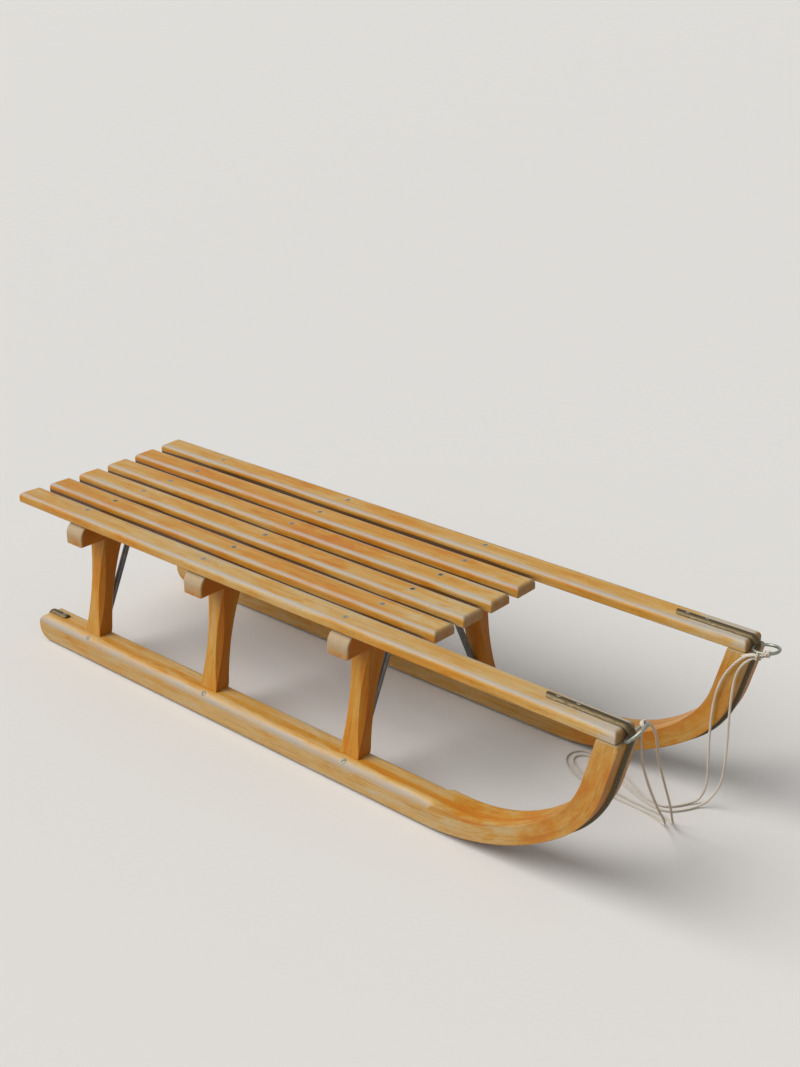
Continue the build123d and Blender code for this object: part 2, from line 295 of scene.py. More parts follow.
# Height over which a bolster's end grain goes from orange to pale
end_rise = 0.020

# Angle of the sine that draws growth rings: radians per square metre off the pith,
# and how many the warping adds
ring_pace = 26000.0
ring_warp = 90.0

# Pale halo of a screw, and its dark rim of grime and painted countersink shade:
# distances from its middle where they start to fade and where they end
screw_halo = (0.0038, 0.0058)
screw_rim = (0.0034, 0.0040)


def straight_grain(shade):
    """Grain along the sled."""
    return shade.place(), (1.0, 0.0, 0.0)


def cross_grain(shade):
    """Grain across the sled."""
    x, y, z = shade.split(shade.place())
    return shade.join(y, x, z), (0.0, 1.0, 0.0)


def leg_grain(side):
    """Grain up a splayed leg."""
    lean = -side_sign[side] * leg_splay
    upward = Vector((0.0, lean, 1.0)).normalized()

    def grain(shade):
        x, y, z = shade.split(shade.place())
        breadth = shade.math("MULTIPLY_ADD", z, -lean, y)
        return shade.join(z, breadth, x), upward

    return grain


def bend_grain(shade):
    """Grain along a runner's centre line and round its bend."""
    x, y, z = shade.split(shade.place())
    turn = bend_angle
    first = at(bend_start, 0, iron_thickness + bend_radius)
    foot = first + Vector((sin(turn), 0, -cos(turn))) * bend_radius
    second = foot + Vector((-sin(turn), 0, cos(turn))) * horn_radius
    run, depth, angle = x, z, 0.0
    start = first.x
    for centre, radius, begin, end in (
        (first, bend_radius, 0.0, turn),
        (second, horn_radius, turn, turn + horn_angle),
    ):
        ahead = shade.math("SUBTRACT", x, centre.x)
        below = shade.math("SUBTRACT", centre.z, z)
        raw = shade.math("ARCTAN2", ahead, below)
        held = shade.math("MINIMUM", raw, end)
        squares = shade.math("MULTIPLY_ADD", ahead, ahead, shade.product(below, below))
        reach = shade.math("SQRT", squares)
        beyond = shade.math("SUBTRACT", raw, held)
        spill = shade.product(reach, shade.math("SINE", beyond))
        turned = shade.math("SUBTRACT", held, begin)
        arc_run = shade.total(shade.math("MULTIPLY_ADD", turned, radius, start), spill)
        inward = shade.product(reach, shade.math("COSINE", beyond))
        arc_depth = shade.math("SUBTRACT", radius + iron_thickness, inward)
        there = shade.product(
            shade.math("GREATER_THAN", raw, begin), shade.math("GREATER_THAN", x, first.x)
        )
        run = shade.choose(there, run, arc_run)
        depth = shade.choose(there, depth, arc_depth)
        angle = shade.choose(there, angle, held)
        start += radius * (end - begin)
    direction = shade.join(shade.math("COSINE", angle), 0.0, shade.math("SINE", angle))
    return shade.join(run, y, depth), direction


class Beech(Shade):
    """Varnished beech, built up in layers. Those of the tone come before colour_by_tone,
    and varnish comes last."""

    def __init__(self, name, grain, seed, tones, edge_radius=0.0009):
        top_tone, side_tone = tones
        super().__init__(name, Specular_IOR_Level=0.30, Coat_Weight=0.06, Coat_Roughness=0.42)
        course, self.direction = grain(self)
        self.run, self.across, self.depth = self.split(course)
        vector = self.vector("ADD", course, (seed * 1.37, seed * 0.71, seed * 0.29))
        self.streak = self.noise(vector, (3.5, 60.0, 60.0), detail=3.0)
        self.cloud = self.noise(vector, (14.0, 62.0, 62.0), detail=4.0, roughness=0.6)
        self.line = self.noise(vector, (16.0, 620.0, 620.0), detail=3.0)
        self.dash = self.noise(vector, (230.0, 1500.0, 1500.0), detail=1.0)
        self.scuff = self.noise(vector, (70.0, 260.0, 260.0), detail=4.0, roughness=0.7)
        self.pores = self.noise(vector, (420.0, 900.0, 900.0))
        self.wave = self.noise(vector, (14.0, 70.0, 70.0))
        patch = self.noise(vector, (30.0, 70.0, 70.0), detail=4.0, roughness=0.65)
        self.patch = self.span(patch, 0.38, 0.62, 0.45, 1.45)
        self.soft, edge, self.face = self.edges(edge_radius)
        _, sideways, upwards = self.split(self.face)
        self.outward, self.level = self.size(sideways), self.size(upwards)

        # Growth rings, cut flat by the saw
        warp = self.noise(vector, (5.0, 14.0, 14.0))
        depth_square = self.product(self.depth, self.depth)
        off_pith = self.math("MULTIPLY_ADD", self.across, self.across, depth_square)
        rings = self.total(self.product(off_pith, ring_pace), self.product(warp, ring_warp))
        self.ring = self.math("SINE", rings)

        blotch = self.noise(vector, (24.0, 90.0, 90.0), detail=3.0)
        self.tone = self.total(
            self.choose(self.span(self.level, 0.25, 0.85), side_tone, top_tone),
            self.span(self.streak, 0.28, 0.72, -0.26, 0.26, smooth=False),
            self.span(self.cloud, 0.30, 0.70, -0.26, 0.26, smooth=False),
            self.span(blotch, 0.56, 0.72, 0.0, -0.30),
            self.product(self.ring, 0.045),
            self.span(self.scuff, 0.58, 0.78, 0.0, 0.25),
            # Sharp edges paler: partly wear, partly a painted highlight
            self.span(edge, 0.02, 0.20, 0.0, 0.60),
        )

    def shift(self, step):
        """Adds to the tone."""
        self.tone = self.total(self.tone, step)

    def cover(self, share, colour):
        """Lays another colour over the wood's."""
        self.colour = self.mix(share, self.colour, colour)

    def paint_face_shade(self, way, step):
        """Painted shade: a face that looks one way is deeper in tone."""
        self.shift(self.span(self.along(self.face, way), 0.25, 0.75, 0.0, step))

    def change_along(self, changes, side_share=1.0):
        """Patchy steps of tone along the grain: from, to and size, and the share of
        them that the sides take."""
        on_side = self.span(self.outward, 0.5, 0.95)
        share = self.product(self.patch, self.choose(on_side, 1.0, side_share))
        for low, high, step in changes:
            self.shift(self.product(share, self.span(self.run, low, high, 0.0, step)))

    def change_across(self, changes):
        """Steps of tone across the sled, with edges as ragged as the grain."""
        ragged = self.math("SUBTRACT", self.cloud, 0.5)
        breadth = self.math("MULTIPLY_ADD", ragged, 0.009, self.size(self.across))
        for low, high, step in changes:
            self.shift(self.span(breadth, low, high, 0.0, step))

    def fade_side(self, way, low, high, brim):
        """A side that looks one way is paler from low to high along the grain, up to a
        rubbed line at the brim."""
        there = self.product(
            self.span(self.run, low, low + 0.03),
            self.span(self.run, high, high + 0.06, 1.0, 0.0),
            self.span(self.along(self.face, way), 0.50, 0.95),
        )
        paler = self.span(self.depth, brim - 0.001, brim + 0.001, 0.34, 0.0)
        below = self.product(self.patch, paler)
        from_brim = self.size(self.math("SUBTRACT", self.depth, brim))
        rubbed = self.span(from_brim, 0.0005, 0.0014, 0.30, 0.0)
        self.shift(self.product(there, self.total(below, rubbed)))

    def colour_by_tone(self):
        """The wood's colour, with fine lines and flecks."""
        self.colour = self.ramp(self.math("DIVIDE", self.tone, tone_range), beech_tones)
        self.cover(self.span(self.line, 0.48, 0.72, 0.0, 0.36), fleck)
        self.cover(self.span(self.dash, 0.64, 0.74, 0.0, 0.50), fleck)

    def paint_highlight_and_wear(self, *limits):
        """Painted highlight and pale wear, in patches, within limits that run from 0 to 1."""
        uneven = self.span(self.cloud, 0.30, 0.62, 0.46, 0.94)
        self.cover(self.product(*limits, uneven), highlight_and_wear_tone)

    def paint_gap_shade(self, way, top):
        """Painted shade low in the gap between slats, on the side that looks one way. It ends
        where the short slats do."""
        ragged = self.math("SUBTRACT", self.streak, 0.5)
        height = self.math("MULTIPLY_ADD", ragged, 0.012, self.depth)
        gap_end = at(seat_front, 0, 0).x
        self.cover(
            self.product(
                self.span(self.along(self.face, way), 0.3, 0.7),
                self.span(height, top - 0.0012, top, 0.95, 0.0),
                self.span(self.run, gap_end - 0.030, gap_end, 1.0, 0.0),
            ),
            shade_and_grime,
        )

    def show_ends(self, start, lift=0.40):
        """End grain on the faces that turn this far to the end of the grain. It is
        paler upwards."""
        endwise = self.size(self.along(self.face, self.direction))
        self.on_end = self.span(endwise, start, start + 0.30)
        height = self.split(self.place())[2]
        tone = self.total(
            self.span(self.cloud, 0.30, 0.66, 0.10, 0.95, smooth=False),
            self.product(self.ring, 0.14),
            self.span(height, bolster_bottom, bolster_bottom + end_rise, -0.22, lift),
        )
        pores = self.span(self.pores, 0.50, 0.75, 0.0, 0.35)
        self.cover(self.on_end, self.mix(pores, self.ramp(tone, end_tones), fleck))

    def mark_screws(self, places):
        """A pale ring round each screw, and a dark ring at its rim: grime, and painted shade of a
        countersink.
        """
        for place in places:
            reach = self.distance(place)
            self.cover(self.span(reach, *screw_halo, 0.65, 0.0), highlight_and_wear_tone)
            self.cover(self.span(reach, *screw_rim, 0.60, 0.0), shade_and_grime)

    def varnish(self):
        """Uneven gloss and relief."""
        rough = self.total(
            self.span(self.scuff, 0.42, 0.75, 0.46, 0.60),
            self.span(self.line, 0.40, 0.70, -0.03, 0.05),
            self.product(self.on_end, 0.20),
        )
        relief = self.bump(self.wave, 0.0005, 0.35, self.soft)
        relief = self.bump(self.line, 0.00010, 0.5, relief)
        relief = self.bump(self.dash, 0.00005, 0.4, relief)
        return self.finish(Base_Color=self.colour, Roughness=rough, Normal=relief)


# Skin and rubbed tone of the irons, the rings and the stays
iron_tones = ((0.072, 0.052, 0.026), (0.200, 0.170, 0.100))
ring_tones = ((0.200, 0.210, 0.180), (0.420, 0.435, 0.385))
stay_tones = ((0.120, 0.122, 0.128), (0.250, 0.253, 0.262))
rust_tone = (0.095, 0.046, 0.022)

# Fineness of the skin's patches, before they are stretched
skin_scale = 170.0


def steel(name, tones, rough, stretch, shine, seed, polished_below=False):
    """Worn steel: a dark skin that is rubbed bright in fine patches and scratches."""
    shade = Shade(name, Metallic=0.9)
    place = shade.vector("ADD", shade.place(), (seed, seed * 0.6, seed * 0.3))
    skin = shade.noise(place, tuple(skin_scale * s for s in stretch), detail=5.0, roughness=0.6)
    rust = shade.noise(place, (60.0, 110.0, 110.0), detail=4.0, roughness=0.65)
    scratch = shade.noise(place, (45.0, 2400.0, 2400.0))
    soft, edge, face = shade.edges(0.0006)
    bare = shade.total(
        shade.span(skin, 0.25, 0.80, 0.0, shine),
        shade.span(scratch, 0.60, 0.80, 0.0, 0.20),
        shade.span(edge, 0.02, 0.18, 0.0, 0.4),
    )
    if polished_below:
        bare = shade.total(bare, shade.span(shade.split(face)[2], -0.80, -0.95, 0.0, 0.9))
    colour = shade.mix(shade.math("MINIMUM", bare, 1.0), *tones)
    colour = shade.mix(shade.span(rust, 0.56, 0.80, 0.0, 0.35), colour, rust_tone)
    roughness = shade.total(
        shade.span(skin, 0.3, 0.7, rough + 0.08, rough - 0.05),
        shade.span(rust, 0.58, 0.78, 0.0, 0.25),
    )
    relief = shade.bump(skin, 0.00012, 0.4, soft)
    relief = shade.bump(scratch, 0.00003, 0.4, relief)
    return shade.finish(Base_Color=colour, Roughness=roughness, Normal=relief)


# Screws through the slats: distance from the tail and y, over each bolster
slat_screws = (
    (0.1322, -0.1312), (0.1332, -0.0811), (0.1331, -0.0275),
    (0.1324, 0.0258), (0.1335, 0.0785), (0.1314, 0.1351),
    (0.3887, -0.1374), (0.3895, -0.0826), (0.3910, -0.0248),
    (0.3910, 0.0276), (0.3928, 0.0828), (0.3944, 0.1399),
    (0.6526, -0.1406), (0.6610, -0.0825), (0.6606, -0.0234),
    (0.6607, 0.0325), (0.6574, 0.0864), (0.6487, 0.1419),
)

# How dark each of them has gone, in the same order, and the others
slat_tarnish = (
    0.25, 0.75, 0.40, 0.30, 0.50, 0.20,
    0.20, 0.70, 0.50, 0.45, 0.45, 0.35,
    0.20, 0.40, 0.80, 0.75, 0.55, 0.40,
)
runner_tarnish, iron_tarnish, stay_tarnish = 0.55, 0.25, 0.50
screw_tones = (
    (0.00, (0.420, 0.390, 0.300)),
    (0.50, (0.240, 0.235, 0.180)),
    (1.00, (0.040, 0.036, 0.026)),
)

# How far the screws in a runner's round-over lean out
runner_screw_lean = radians(38.0)

# Radius and rise of the screw heads
slat_head = (0.0034, 0.0006)
runner_head = (0.0037, 0.0007)
iron_head = (0.0028, 0.0006)
stay_head = (0.0034, 0.0008)

# Distances from the tail to the screws in the irons, on the slat and on the runner
horn_iron_screws = (0.970, 0.997)
heel_iron_screw = runner_start + 0.034


def slat_middle(number):
    """y of a slat's middle."""
    return (number - (slat_count - 1) / 2) * slat_pitch


def seat_point(y):
    """Point on the upper face of a slat at y, and the face's normal there."""
    middle = slat_middle(round(y / slat_pitch + (slat_count - 1) / 2))
    outer = slat_middle(slat_count - 1)
    radius = (outer**2 + seat_dish**2) / (2 * seat_dish)
    tilt = middle / radius
    drop = seat_dish - (radius - sqrt(radius**2 - middle**2))
    normal = Vector((0, -sin(tilt), cos(tilt)))
    along = Vector((0, cos(tilt), sin(tilt)))
    base = Vector((0, middle, slat_bottom - drop)) + normal * (slat_thickness + slat_play)
    return base + along * (y - middle) / cos(tilt), normal


def slat_screw(tail, y):
    """Centre and normal of a screw in a slat."""
    point, normal = seat_point(y)
    return point + at(tail, 0, 0), normal


def runner_screw(place, sign):
    """Centre and normal of a screw on a runner's outer round-over."""
    slant = Vector((0, sign * sin(runner_screw_lean), cos(runner_screw_lean)))
    y = sign * (runner_y + runner_width / 2 - runner_round)
    return at(place, y, runner_top - runner_round) + slant * runner_round, slant


def dressed(node, material):
    """Gives a CAD node a material of its own."""
    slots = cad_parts[node].data.materials
    slots.clear()
    slots.append(material)


# Tone of each slat's top, from the sled's right to its left, and step to its sides
slat_tones = (0.80, 0.47, 0.69, 0.65, 0.47, 0.76)
slat_side_step = -0.14

# Tones of the other boards' tops and sides
bolster_tones = (0.42, 0.40)
leg_tones = (0.47, 0.46)
runner_tones = (0.84, 0.84)

# Steps of tone to a trestle's front and to a runner's inner side, as painted shade
front_shade_step = -0.30
inner_shade_step = -0.10

# How far a board's faces turn to the end of the grain before they show it
slat_end, bolster_end, leg_end, runner_end = 0.35, 0.10, 0.75, 0.75

# Wear of a slat's nose: distances back from its tip where it starts and is full,
# and the step of tone on the long and on the short slats
nose_start, nose_full = 0.13, 0.015
long_nose_step, short_nose_step = 1.05, 0.30

# Painted highlight and wear on a slat's rims: distances from its middle where they start and are
# full
slat_rim_highlight = (0.0112, 0.0148)

# Height of the painted gap shade above the bottom of a slat
gap_shade_rise = 0.0058

# Stretches where a slat is darker or paler: from, to and step
slat_stretches = {
    0: (0.29, 0.66, 0.14),
    2: (0.38, 0.58, -0.30),
    3: (0.37, 0.58, -0.52),
    5: (0.13, 0.58, -0.20),
}
stretch_fade = 0.06

# Steps of tone along a runner, from the start of its bend, and across it, from the
# sled's middle: from, to and step
bend_changes = ((0.005, 0.07, -0.36), (0.345, 0.392, 0.42))
runner_bands = ((0.1350, 0.1395, -0.36), (0.1450, 0.1475, 0.36))

# Stretch where its outer side is paler, from the start of the bend, and the height
# that this reaches
pale_start, pale_end, pale_brim = 0.02, 0.13, 0.0265


def slat_beech(number):
    """Beech of a slat, with a painted highlight and wear along the rims of its top, worn at its
    nose, and painted shade low in its gaps.
    """
    tone = slat_tones[number]
    tones = (tone, tone + slat_side_step)
    wood = Beech(f"beech_slat_{number + 1}", straight_grain, number + 1.0, tones)
    is_long = number in (0, slat_count - 1)
    nose = at(slat_tip if is_long else seat_front, 0, 0).x
    nose_step = long_nose_step if is_long else short_nose_step
    changes = [(nose - nose_start, nose - nose_full, nose_step)]
    if number in slat_stretches:
        low, high, step = slat_stretches[number]
        low, high = at(low, 0, 0).x, at(high, 0, 0).x
        changes += [(low, low + stretch_fade, step), (high - stretch_fade, high, -step)]
    wood.change_along(changes, side_share=0.45)
    wood.colour_by_tone()
    from_middle = wood.size(wood.math("SUBTRACT", wood.across, slat_middle(number)))
    # Painted highlight and pale wear along the rims of the top
    wood.paint_highlight_and_wear(wood.span(wood.level, 0.35, 0.75), wood.span(from_middle, *slat_rim_highlight))
    places = [slat_screw(*screw)[0] for screw in slat_screws[number::slat_count]]
    gap_shade_top = seat_point(places[1].y)[0].z - slat_thickness + gap_shade_rise
    # Painted shade low in the gaps next to the slat's sides
    if number > 0:
        wood.paint_gap_shade(to_right, gap_shade_top)
    if number < slat_count - 1:
        wood.paint_gap_shade(to_left, gap_shade_top)
    wood.show_ends(slat_end, lift=0.05)
    wood.mark_screws(places)
    return wood.varnish()


def trestle_beech(name, grain, seed, tones, end_start):
    """Beech of a bolster or a leg, with painted shade on its front."""
    wood = Beech(name, grain, seed, tones)
    wood.paint_face_shade(to_front, front_shade_step)
    wood.colour_by_tone()
    wood.show_ends(end_start)
    return wood.varnish()


def runner_beech(side):
    """Beech of a runner, orange in its bend, with a painted highlight and wear on its round-overs
    and painted shade on its inner side.
    """
    sign = side_sign[side]
    outward, inward = (0.0, sign, 0.0), (0.0, -sign, 0.0)
    name = f"beech_runner_{side}"
    wood = Beech(name, bend_grain, 41.0 + sign, runner_tones, edge_radius=0.0014)
    bend = at(bend_start, 0, 0).x
    # Painted shade on the runner's inner side
    wood.paint_face_shade(inward, inner_shade_step)
    wood.change_along([(bend + low, bend + high, step) for low, high, step in bend_changes])
    wood.fade_side(outward, bend + pale_start, bend + pale_end, pale_brim)
    wood.change_across(runner_bands)
    wood.colour_by_tone()
    # Painted highlight and pale wear on the round-overs, reaching a little onto the outer side
    wood.paint_highlight_and_wear(
        wood.span(wood.level, -0.07, 0.33),
        wood.span(wood.level, 0.68, 0.90, 1.0, 0.0),
        wood.span(wood.outward, 0.10, 0.35),
    )
    wood.show_ends(runner_end)
    wood.mark_screws([runner_screw(place, sign)[0] for place in bolster_places.values()])
    return wood.varnish()


def dress_wood():
    """Each board gets its own cut of beech."""
    for number in range(slat_count):
        dressed(f"slat_{number + 1}", slat_beech(number))
    for number, name in enumerate(bolster_places):
        node = f"bolster_{name}"
        seed = number + 11.0
        wood = trestle_beech("beech_" + node, cross_grain, seed, bolster_tones, bolster_end)
        dressed(node, wood)
        for side, sign in side_sign.items():
            node = f"leg_{name}_{side}"
            seed = number * 2 + 21.0 + sign
            wood = trestle_beech("beech_" + node, leg_grain(side), seed, leg_tones, leg_end)
            dressed(node, wood)
    for side in side_sign:
        dressed(f"runner_{side}", runner_beech(side))


def dress_metal():
    """Browned irons, zinc rings and grey stays."""
    for side, sign in side_sign.items():
        iron = steel(f"browned_iron_{side}", iron_tones, rough=0.43, stretch=(0.8, 3.5, 3.5),
                     shine=0.32, seed=sign, polished_below=True)
        dressed(f"iron_{side}", iron)
        ring = steel(f"zinc_wire_{side}", ring_tones, rough=0.44, stretch=(2.5, 2.5, 2.5),
                     shine=0.8, seed=sign * 2.0)
        dressed(f"ring_{side}", ring)
        for name in ("rear", "front"):
            stay = steel(f"grey_bar_{name}_{side}", stay_tones, rough=0.44,
                         stretch=(2.0, 2.0, 0.6), shine=0.6, seed=sign * 3.0)
            dressed(f"stay_{name}_{side}", stay)


# Routes of the two strands, as the solids have them: distance from the tail, y and z
outer_route = [
    (1.0736, -0.1213, 0.2327), (1.0676, -0.1199, 0.2268), (1.0675, -0.1195, 0.2125),
    (1.069, -0.1175, 0.190), (1.069, -0.103, 0.155), (1.061, -0.075, 0.118),
    (1.054, -0.055, 0.095), (1.045, -0.030, 0.067), (1.036, -0.005, 0.042),
    (1.027, 0.016, 0.020), (1.016, 0.036, 0.0016), (0.990, 0.044, 0.0016),
    (0.962, 0.045, 0.0016), (0.930, 0.046, 0.0016), (0.903, 0.049, 0.0016),
    (0.877, 0.054, 0.0016), (0.856, 0.062, 0.0016), (0.838, 0.076, 0.0016),
    (0.831, 0.094, 0.0016), (0.838, 0.110, 0.0016), (0.856, 0.115, 0.0016),
    (0.885, 0.108, 0.0016), (0.916, 0.095, 0.0016), (0.955, 0.074, 0.0016),
    (0.988, 0.066, 0.0016), (1.003, 0.076, 0.0016), (1.014, 0.095, 0.0016),
    (1.023, 0.107, 0.006), (1.029, 0.110, 0.030), (1.027, 0.111, 0.060),
    (1.025, 0.112, 0.095), (1.0255, 0.1125, 0.130), (1.028, 0.1125, 0.155),
    (1.032, 0.1125, 0.171), (1.038, 0.1125, 0.187), (1.047, 0.1125, 0.202),
    (1.058, 0.1125, 0.216), (1.067, 0.1122, 0.2225), (1.0775, 0.1126, 0.2259),
    (1.0844, 0.1166, 0.2263),
]
inner_route = [
    (1.0753, -0.1176, 0.2370), (1.0772, -0.1124, 0.2326), (1.0766, -0.1028, 0.2165),
    (1.0705, -0.088, 0.194), (1.062, -0.072, 0.169), (1.055, -0.050, 0.137),
    (1.049, -0.030, 0.107), (1.043, -0.010, 0.078), (1.036, 0.012, 0.046),
    (1.030, 0.028, 0.018), (1.023, 0.044, 0.0016), (1.000, 0.0515, 0.0016),
    (0.975, 0.0525, 0.0016), (0.950, 0.054, 0.0016), (0.925, 0.056, 0.0016),
    (0.900, 0.059, 0.0016), (0.880, 0.063, 0.0016), (0.862, 0.069, 0.0016),
    (0.847, 0.080, 0.0016), (0.841, 0.093, 0.0016), (0.848, 0.104, 0.0016),
    (0.863, 0.107, 0.0016), (0.890, 0.099, 0.0016), (0.922, 0.081, 0.0016),
    (0.955, 0.067, 0.0016), (0.988, 0.0585, 0.0016), (1.006, 0.064, 0.0016),
    (1.018, 0.080, 0.0016), (1.026, 0.096, 0.0016), (1.035, 0.105, 0.009),
    (1.047, 0.111, 0.034), (1.0495, 0.112, 0.062), (1.050, 0.112, 0.098),
    (1.049, 0.1122, 0.132), (1.0495, 0.1125, 0.157), (1.0505, 0.1125, 0.177),
    (1.053, 0.1125, 0.192), (1.058, 0.1125, 0.205), (1.066, 0.1125, 0.215),
    (1.0760, 0.1151, 0.2224), (1.0829, 0.1191, 0.2228),
]

# The cord is laid from three yarns
yarns = 3
lay_length = 0.0125
cord_step = 0.00045
cord_sides = 24
points_per_span = 12

# Where the half hitch sits: points back from the strands' end on the left ring
hitch_back = 17

# Reach of the yarns' crests, their thickness and the grooves between them, with the
# cord's radius as 1 for the first and the crests' reach as 1 for the others
crest_share = 1.08
yarn_share = 0.50
groove_share = 0.68

# Off-white yarn, soiled yarn, painted shade in the grooves and loose fibres
cord_clean = (0.770, 0.725, 0.650)
cord_soiled = (0.600, 0.540, 0.450)
groove_shade = (0.230, 0.190, 0.135)
cord_fibre = (0.380, 0.320, 0.240)


def smooth_line(name, points):
    """Points read from a NURBS spline that has the given points as its control points."""
    curve = bpy.data.curves.new(name + "_line", "CURVE")
    curve.dimensions = "3D"
    curve.resolution_u = points_per_span
    spline = curve.splines.new("NURBS")
    spline.points.add(len(points) - 1)
    for control, point in zip(spline.points, points):
        control.co = (*point, 1.0)
    spline.order_u = 3
    spline.use_endpoint_u = True
    guide = bpy.data.objects.new(name + "_guide", curve)
    mesh = bpy.data.meshes.new_from_object(guide)
    line = [vertex.co.copy() for vertex in mesh.vertices]
    bpy.data.meshes.remove(mesh)
    bpy.data.objects.remove(guide)
    bpy.data.curves.remove(curve)
    return line


def evenly(line, step):
    """The same line with points a step apart, and its length."""
    lengths = [0.0]
    for a, b in zip(line, line[1:]):
        lengths.append(lengths[-1] + (b - a).length)
    count = max(2, round(lengths[-1] / step))
    even, index = [], 0
    for number in range(count + 1):
        target = lengths[-1] * number / count
        while index < len(line) - 2 and lengths[index + 1] < target:
            index += 1
        share = (target - lengths[index]) / (lengths[index + 1] - lengths[index])
        even.append(line[index].lerp(line[index + 1], min(max(share, 0.0), 1.0)))
    return even, lengths[-1]


def frames_along(line):
    """Two cross directions at each point, turned as little as possible."""
    frames = []
    side = None
    for index in range(len(line)):
        before = line[max(index - 1, 0)]
        after = line[min(index + 1, len(line) - 1)]
        tangent = (after - before).normalized()
        side = tangent.orthogonal() if side is None else side - tangent * side.dot(tangent)
        side = side.normalized()
        frames.append((side, tangent.cross(side)))
    return frames


def yarn_reach(turn):
    """Distance from the cord's middle to its surface, at a turn from a yarn's crest."""
    radius = crest_share * cord_diameter / 2
    thick = yarn_share * radius
    centre = radius - thick
    under = thick**2 - (centre * sin(turn)) ** 2
    return max(groove_share * radius, centre * cos(turn) + sqrt(max(under, 0.0)))


def made(name, mesh, material, smooth=True):
    """Turns a bmesh into a piece that rides on the sled."""
    bmesh.ops.recalc_face_normals(mesh, faces=mesh.faces)
    data = bpy.data.meshes.new(name)
    mesh.to_mesh(data)
    mesh.free()
    for polygon in data.polygons:
        polygon.use_smooth = smooth
    data.materials.append(material)
    piece = bpy.data.objects.new(name, data)
    bpy.context.scene.collection.objects.link(piece)
    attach(piece, "root")
    return piece


def laid_cord(name, line, material):
    """A cord of twisted yarns along a line, with rounded ends: the piece, the points
    of its middle and its length."""
    even, length = evenly(line, cord_step)
    mesh = bmesh.new()
    hollow = mesh.verts.layers.float.new("hollow")
    rings = []
    last = len(even) - 1
    segment = 2 * pi / yarns
    tip_share = 0.15
    for index, (point, (side, up)) in enumerate(zip(even, frames_along(even))):
        twist = 2 * pi * index * length / last / lay_length
        from_end = min(index, last - index) * cord_step / (cord_diameter / 2)
        taper = sqrt(1 - (1 - min(from_end + tip_share, 1.0)) ** 2)
        ring = []
        for number in range(cord_sides):
            turn = 2 * pi * number / cord_sides
            crest = (turn - twist + segment / 2) % segment - segment / 2
            reach = yarn_reach(crest)
            vertex = mesh.verts.new(point + (side * cos(turn) + up * sin(turn)) * reach * taper)
            vertex[hollow] = abs(crest) / (segment / 2)
            ring.append(vertex)
        rings.append(ring)
    for low, high in zip(rings, rings[1:]):
        for number in range(cord_sides):
            after = (number + 1) % cord_sides
            mesh.faces.new((low[number], low[after], high[after], high[number]))
    mesh.faces.new(reversed(rings[0]))
    mesh.faces.new(rings[-1])
    return made(name, mesh, material), even, length


def cord_material():
    """Off-white twisted cord, with painted shade between its yarns, and greyer where it is soiled.
    """
    shade = Shade("twisted_cord", Roughness=0.85, Sheen_Weight=0.25)
    place = shade.place()
    hollow = shade.node("Attribute", attribute_name="hollow").outputs["Fac"]
    soil = shade.noise(place, (28.0, 28.0, 28.0), detail=4.0)
    fibre = shade.noise(place, (2200.0, 2200.0, 2200.0))
    colour = shade.mix(shade.span(soil, 0.35, 0.70, 0.0, 0.7), cord_clean, cord_soiled)
    # Painted shade in the grooves between the yarns
    colour = shade.mix(shade.span(hollow, 0.40, 1.0, 0.0, 0.8), colour, groove_shade)
    colour = shade.mix(shade.span(fibre, 0.50, 0.75, 0.0, 0.25), colour, cord_fibre)
    return shade.finish(Base_Color=colour, Normal=shade.bump(fibre, 0.00015, 0.5))


def knot(side, ends, material):
    """Two turns of cord round a ring's wire that join both strands."""
    node = f"hitch_{side}"
    low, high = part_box(node)
    seat = (low + high) / 2
    out = (seat - ring_centres[side]).normalized()
    normal = ring_normals[side]
    tangent = normal.cross(out).normalized()
    winding = ring_wire / 2 + cord_diameter * 0.48
    pitch = cord_diameter * 1.02
    count = 18

    def seen(point):
        """Turn of a point round the wire, and how far along the wire it is."""
        offset = point - seat
        return atan2(offset.dot(normal), offset.dot(out)), offset.dot(tangent)

    (first_turn, first_shift), (last_turn, last_shift) = seen(ends[0]), seen(ends[1])
    way = 1 if last_shift >= first_shift else -1
    sweep = 4 * pi + (last_turn - first_turn) % (2 * pi)
    reach = winding / cos(sweep / count / 2)
    points = [ends[0]]
    for index in range(1, count):
        share = index / count
        turn = first_turn + sweep * share
        shift = way * pitch * (share - 0.5) * sweep / (2 * pi)
        points.append(seat + (out * cos(turn) + normal * sin(turn)) * reach + tangent * shift)
    points.append(ends[1])
    turns, _, _ = laid_cord(f"knot_{side}_turns", smooth_line(f"knot_{side}", points), material)
    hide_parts(node)
    return turns


def half_hitch(name, strands, back, loose_end, material):
    """A turn round two strands that run side by side, and its loose end."""
    first, second = (strand[-1 - back] for strand in strands)
    ahead = (strands[0][-1] - strands[0][-1 - back]).normalized()
    middle = (first + second) / 2
    across = second - first
    across = across - ahead * across.dot(ahead)
    wide = across.length / 2 + cord_diameter * 0.98
    across = across.normalized()
    over = ahead.cross(across)
    if over.z < 0:
        over = -over
    # Play of the turn, and how many cord diameters it runs along the strands
    loosely, advance = 1.04, 2.2
    points = []
    count = 14
    for index in range(count + 1):
        share = index / count
        turn = pi * 2.75 * share - pi * 0.25
        reach = across * cos(turn) * wide + over * sin(turn) * cord_diameter
        along = ahead * cord_diameter * (advance * (0.5 - share))
        points.append(middle + reach * loosely + along)
    points += [points[-1] + Vector(step) for step in loose_end]
    return laid_cord(name, smooth_line(name, points), material)[0]


